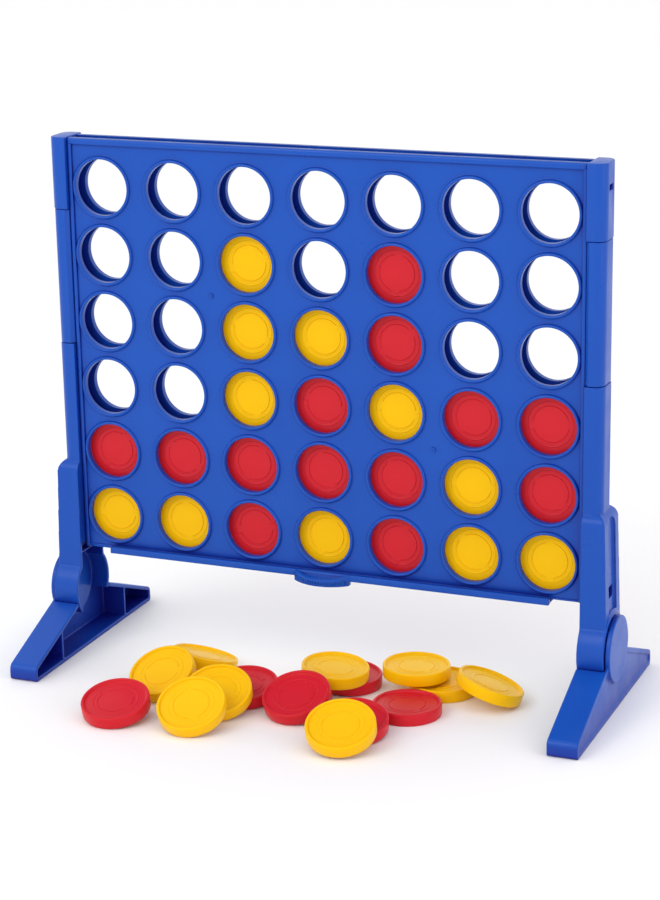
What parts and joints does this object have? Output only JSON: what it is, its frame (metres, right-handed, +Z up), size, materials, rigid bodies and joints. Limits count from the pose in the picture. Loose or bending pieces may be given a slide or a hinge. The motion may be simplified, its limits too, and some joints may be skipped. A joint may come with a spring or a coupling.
{
  "type": "giant four in a row",
  "caption": "Upright seven-column, six-row disc-dropping grid on two folding feet, with a release slider, played discs and loose discs in front",
  "frame": {"origin": "Middle of the footprint of the whole set, loose discs included, on the ground.", "axes": "+Z up; X runs along the board from its left end to its right end as the loose-disc side sees it; -Y points to the side where the loose discs lie, +Y to the other player."},
  "size_m": [0.585, 0.3356, 0.521],
  "materials": {
    "blue_plastic": "satin-gloss moulded plastic",
    "red_plastic": "satin moulded plastic",
    "yellow_plastic": "satin moulded plastic",
    "screw_steel": "zinc-plated steel"
  },
  "bodies": {
    "board": {"front_panel": "blue_plastic", "back_panel": "blue_plastic", "column_divider_1": "blue_plastic", "column_divider_2": "blue_plastic", "column_divider_3": "blue_plastic", "column_divider_4": "blue_plastic", "column_divider_5": "blue_plastic", "column_divider_6": "blue_plastic", "panel_pin_1": "blue_plastic", "panel_pin_2": "blue_plastic", "left_end_post": "blue_plastic", "right_end_post": "blue_plastic", "left_post_cap": "blue_plastic", "right_post_cap": "blue_plastic", "left_leg": "blue_plastic", "right_leg": "blue_plastic"},
    "slider": {"release_slider": "blue_plastic"},
    "left_foot": {"left_foot": "blue_plastic", "left_pivot_screw": "screw_steel"},
    "right_foot": {"right_foot": "blue_plastic", "right_pivot_screw": "screw_steel"},
    "disc_column1_row1_yellow": {"disc_column1_row1_yellow": "yellow_plastic"},
    "disc_column1_row2_red": {"disc_column1_row2_red": "red_plastic"},
    "disc_column2_row1_yellow": {"disc_column2_row1_yellow": "yellow_plastic"},
    "disc_column2_row2_red": {"disc_column2_row2_red": "red_plastic"},
    "disc_column3_row1_red": {"disc_column3_row1_red": "red_plastic"},
    "disc_column3_row2_red": {"disc_column3_row2_red": "red_plastic"},
    "disc_column3_row3_yellow": {"disc_column3_row3_yellow": "yellow_plastic"},
    "disc_column3_row4_yellow": {"disc_column3_row4_yellow": "yellow_plastic"},
    "disc_column3_row5_yellow": {"disc_column3_row5_yellow": "yellow_plastic"},
    "disc_column4_row1_yellow": {"disc_column4_row1_yellow": "yellow_plastic"},
    "disc_column4_row2_red": {"disc_column4_row2_red": "red_plastic"},
    "disc_column4_row3_red": {"disc_column4_row3_red": "red_plastic"},
    "disc_column4_row4_yellow": {"disc_column4_row4_yellow": "yellow_plastic"},
    "disc_column5_row1_red": {"disc_column5_row1_red": "red_plastic"},
    "disc_column5_row2_red": {"disc_column5_row2_red": "red_plastic"},
    "disc_column5_row3_yellow": {"disc_column5_row3_yellow": "yellow_plastic"},
    "disc_column5_row4_red": {"disc_column5_row4_red": "red_plastic"},
    "disc_column5_row5_red": {"disc_column5_row5_red": "red_plastic"},
    "disc_column6_row1_yellow": {"disc_column6_row1_yellow": "yellow_plastic"},
    "disc_column6_row2_yellow": {"disc_column6_row2_yellow": "yellow_plastic"},
    "disc_column6_row3_red": {"disc_column6_row3_red": "red_plastic"},
    "disc_column7_row1_yellow": {"disc_column7_row1_yellow": "yellow_plastic"},
    "disc_column7_row2_red": {"disc_column7_row2_red": "red_plastic"},
    "disc_column7_row3_red": {"disc_column7_row3_red": "red_plastic"},
    "spare_disc_1_red": {"spare_disc_1_red": "red_plastic"},
    "spare_disc_2_yellow": {"spare_disc_2_yellow": "yellow_plastic"},
    "spare_disc_3_yellow": {"spare_disc_3_yellow": "yellow_plastic"},
    "spare_disc_4_yellow": {"spare_disc_4_yellow": "yellow_plastic"},
    "spare_disc_5_yellow": {"spare_disc_5_yellow": "yellow_plastic"},
    "spare_disc_6_red": {"spare_disc_6_red": "red_plastic"},
    "spare_disc_7_red": {"spare_disc_7_red": "red_plastic"},
    "spare_disc_8_yellow": {"spare_disc_8_yellow": "yellow_plastic"},
    "spare_disc_9_red": {"spare_disc_9_red": "red_plastic"},
    "spare_disc_10_yellow": {"spare_disc_10_yellow": "yellow_plastic"},
    "spare_disc_11_red": {"spare_disc_11_red": "red_plastic"},
    "spare_disc_12_red": {"spare_disc_12_red": "red_plastic"},
    "spare_disc_13_yellow": {"spare_disc_13_yellow": "yellow_plastic"},
    "spare_disc_14_yellow": {"spare_disc_14_yellow": "yellow_plastic"},
    "spare_disc_15_yellow": {"spare_disc_15_yellow": "yellow_plastic"}
  },
  "joints": [
    {"name": "slider_release", "type": "slide", "parent": "board", "child": "slider", "axis": [1, 0, 0], "range_m": [0, 0.0375]},
    {"name": "left_foot_fold", "type": "hinge", "parent": "board", "child": "left_foot", "pos_m": [-0.275, 0.04184, 0.062], "axis": [1, 0, 0], "range_deg": [-60, 60]},
    {"name": "right_foot_fold", "type": "hinge", "parent": "board", "child": "right_foot", "pos_m": [0.275, 0.04184, 0.062], "axis": [1, 0, 0], "range_deg": [-60, 60]},
    {"name": "disc_column1_row1_yellow_lift", "type": "slide", "parent": "board", "child": "disc_column1_row1_yellow", "axis": [0, 0, 1], "range_m": [0, 0.411]},
    {"name": "disc_column1_row2_red_lift", "type": "slide", "parent": "disc_column1_row1_yellow", "child": "disc_column1_row2_red", "axis": [0, 0, 1], "range_m": [0, 0.345]},
    {"name": "disc_column2_row1_yellow_lift", "type": "slide", "parent": "board", "child": "disc_column2_row1_yellow", "axis": [0, 0, 1], "range_m": [0, 0.411]},
    {"name": "disc_column2_row2_red_lift", "type": "slide", "parent": "disc_column2_row1_yellow", "child": "disc_column2_row2_red", "axis": [0, 0, 1], "range_m": [0, 0.345]},
    {"name": "disc_column3_row1_red_lift", "type": "slide", "parent": "board", "child": "disc_column3_row1_red", "axis": [0, 0, 1], "range_m": [0, 0.411]},
    {"name": "disc_column3_row2_red_lift", "type": "slide", "parent": "disc_column3_row1_red", "child": "disc_column3_row2_red", "axis": [0, 0, 1], "range_m": [0, 0.345]},
    {"name": "disc_column3_row3_yellow_lift", "type": "slide", "parent": "disc_column3_row2_red", "child": "disc_column3_row3_yellow", "axis": [0, 0, 1], "range_m": [0, 0.279]},
    {"name": "disc_column3_row4_yellow_lift", "type": "slide", "parent": "disc_column3_row3_yellow", "child": "disc_column3_row4_yellow", "axis": [0, 0, 1], "range_m": [0, 0.213]},
    {"name": "disc_column3_row5_yellow_lift", "type": "slide", "parent": "disc_column3_row4_yellow", "child": "disc_column3_row5_yellow", "axis": [0, 0, 1], "range_m": [0, 0.147]},
    {"name": "disc_column4_row1_yellow_lift", "type": "slide", "parent": "board", "child": "disc_column4_row1_yellow", "axis": [0, 0, 1], "range_m": [0, 0.411]},
    {"name": "disc_column4_row2_red_lift", "type": "slide", "parent": "disc_column4_row1_yellow", "child": "disc_column4_row2_red", "axis": [0, 0, 1], "range_m": [0, 0.345]},
    {"name": "disc_column4_row3_red_lift", "type": "slide", "parent": "disc_column4_row2_red", "child": "disc_column4_row3_red", "axis": [0, 0, 1], "range_m": [0, 0.279]},
    {"name": "disc_column4_row4_yellow_lift", "type": "slide", "parent": "disc_column4_row3_red", "child": "disc_column4_row4_yellow", "axis": [0, 0, 1], "range_m": [0, 0.213]},
    {"name": "disc_column5_row1_red_lift", "type": "slide", "parent": "board", "child": "disc_column5_row1_red", "axis": [0, 0, 1], "range_m": [0, 0.411]},
    {"name": "disc_column5_row2_red_lift", "type": "slide", "parent": "disc_column5_row1_red", "child": "disc_column5_row2_red", "axis": [0, 0, 1], "range_m": [0, 0.345]},
    {"name": "disc_column5_row3_yellow_lift", "type": "slide", "parent": "disc_column5_row2_red", "child": "disc_column5_row3_yellow", "axis": [0, 0, 1], "range_m": [0, 0.279]},
    {"name": "disc_column5_row4_red_lift", "type": "slide", "parent": "disc_column5_row3_yellow", "child": "disc_column5_row4_red", "axis": [0, 0, 1], "range_m": [0, 0.213]},
    {"name": "disc_column5_row5_red_lift", "type": "slide", "parent": "disc_column5_row4_red", "child": "disc_column5_row5_red", "axis": [0, 0, 1], "range_m": [0, 0.147]},
    {"name": "disc_column6_row1_yellow_lift", "type": "slide", "parent": "board", "child": "disc_column6_row1_yellow", "axis": [0, 0, 1], "range_m": [0, 0.411]},
    {"name": "disc_column6_row2_yellow_lift", "type": "slide", "parent": "disc_column6_row1_yellow", "child": "disc_column6_row2_yellow", "axis": [0, 0, 1], "range_m": [0, 0.345]},
    {"name": "disc_column6_row3_red_lift", "type": "slide", "parent": "disc_column6_row2_yellow", "child": "disc_column6_row3_red", "axis": [0, 0, 1], "range_m": [0, 0.279]},
    {"name": "disc_column7_row1_yellow_lift", "type": "slide", "parent": "board", "child": "disc_column7_row1_yellow", "axis": [0, 0, 1], "range_m": [0, 0.411]},
    {"name": "disc_column7_row2_red_lift", "type": "slide", "parent": "disc_column7_row1_yellow", "child": "disc_column7_row2_red", "axis": [0, 0, 1], "range_m": [0, 0.345]},
    {"name": "disc_column7_row3_red_lift", "type": "slide", "parent": "disc_column7_row2_red", "child": "disc_column7_row3_red", "axis": [0, 0, 1], "range_m": [0, 0.279]},
    {"name": "spare_disc_1_red_lift", "type": "slide", "parent": "board", "child": "spare_disc_1_red", "axis": [0, 0, 1], "range_m": [0, 0.1]},
    {"name": "spare_disc_2_yellow_lift", "type": "slide", "parent": "spare_disc_3_yellow", "child": "spare_disc_2_yellow", "axis": [0, 0, 1], "range_m": [0, 0.04]},
    {"name": "spare_disc_3_yellow_lift", "type": "slide", "parent": "board", "child": "spare_disc_3_yellow", "axis": [0, 0, 1], "range_m": [0, 0.05]},
    {"name": "spare_disc_4_yellow_lift", "type": "slide", "parent": "spare_disc_5_yellow", "child": "spare_disc_4_yellow", "axis": [0, 0, 1], "range_m": [0, 0.04]},
    {"name": "spare_disc_5_yellow_lift", "type": "slide", "parent": "spare_disc_6_red", "child": "spare_disc_5_yellow", "axis": [0, 0, 1], "range_m": [0, 0.04]},
    {"name": "spare_disc_6_red_lift", "type": "slide", "parent": "board", "child": "spare_disc_6_red", "axis": [0, 0, 1], "range_m": [0, 0.04]},
    {"name": "spare_disc_7_red_lift", "type": "slide", "parent": "board", "child": "spare_disc_7_red", "axis": [0, 0, 1], "range_m": [0, 0.1]},
    {"name": "spare_disc_8_yellow_lift", "type": "slide", "parent": "spare_disc_9_red", "child": "spare_disc_8_yellow", "axis": [0, 0, 1], "range_m": [0, 0.03]},
    {"name": "spare_disc_9_red_lift", "type": "slide", "parent": "board", "child": "spare_disc_9_red", "axis": [0, 0, 1], "range_m": [0, 0.03]},
    {"name": "spare_disc_10_yellow_lift", "type": "slide", "parent": "spare_disc_11_red", "child": "spare_disc_10_yellow", "axis": [0, 0, 1], "range_m": [0, 0.04]},
    {"name": "spare_disc_11_red_lift", "type": "slide", "parent": "board", "child": "spare_disc_11_red", "axis": [0, 0, 1], "range_m": [0, 0.04]},
    {"name": "spare_disc_12_red_lift", "type": "slide", "parent": "board", "child": "spare_disc_12_red", "axis": [0, 0, 1], "range_m": [0, 0.03]},
    {"name": "spare_disc_13_yellow_lift", "type": "slide", "parent": "spare_disc_14_yellow", "child": "spare_disc_13_yellow", "axis": [0, 0, 1], "range_m": [0, 0.015]},
    {"name": "spare_disc_14_yellow_lift", "type": "slide", "parent": "spare_disc_12_red", "child": "spare_disc_14_yellow", "axis": [0, 0, 1], "range_m": [0, 0.02]},
    {"name": "spare_disc_15_yellow_lift", "type": "slide", "parent": "spare_disc_14_yellow", "child": "spare_disc_15_yellow", "axis": [0, 0, 1], "range_m": [0, 0.012]}
  ]
}
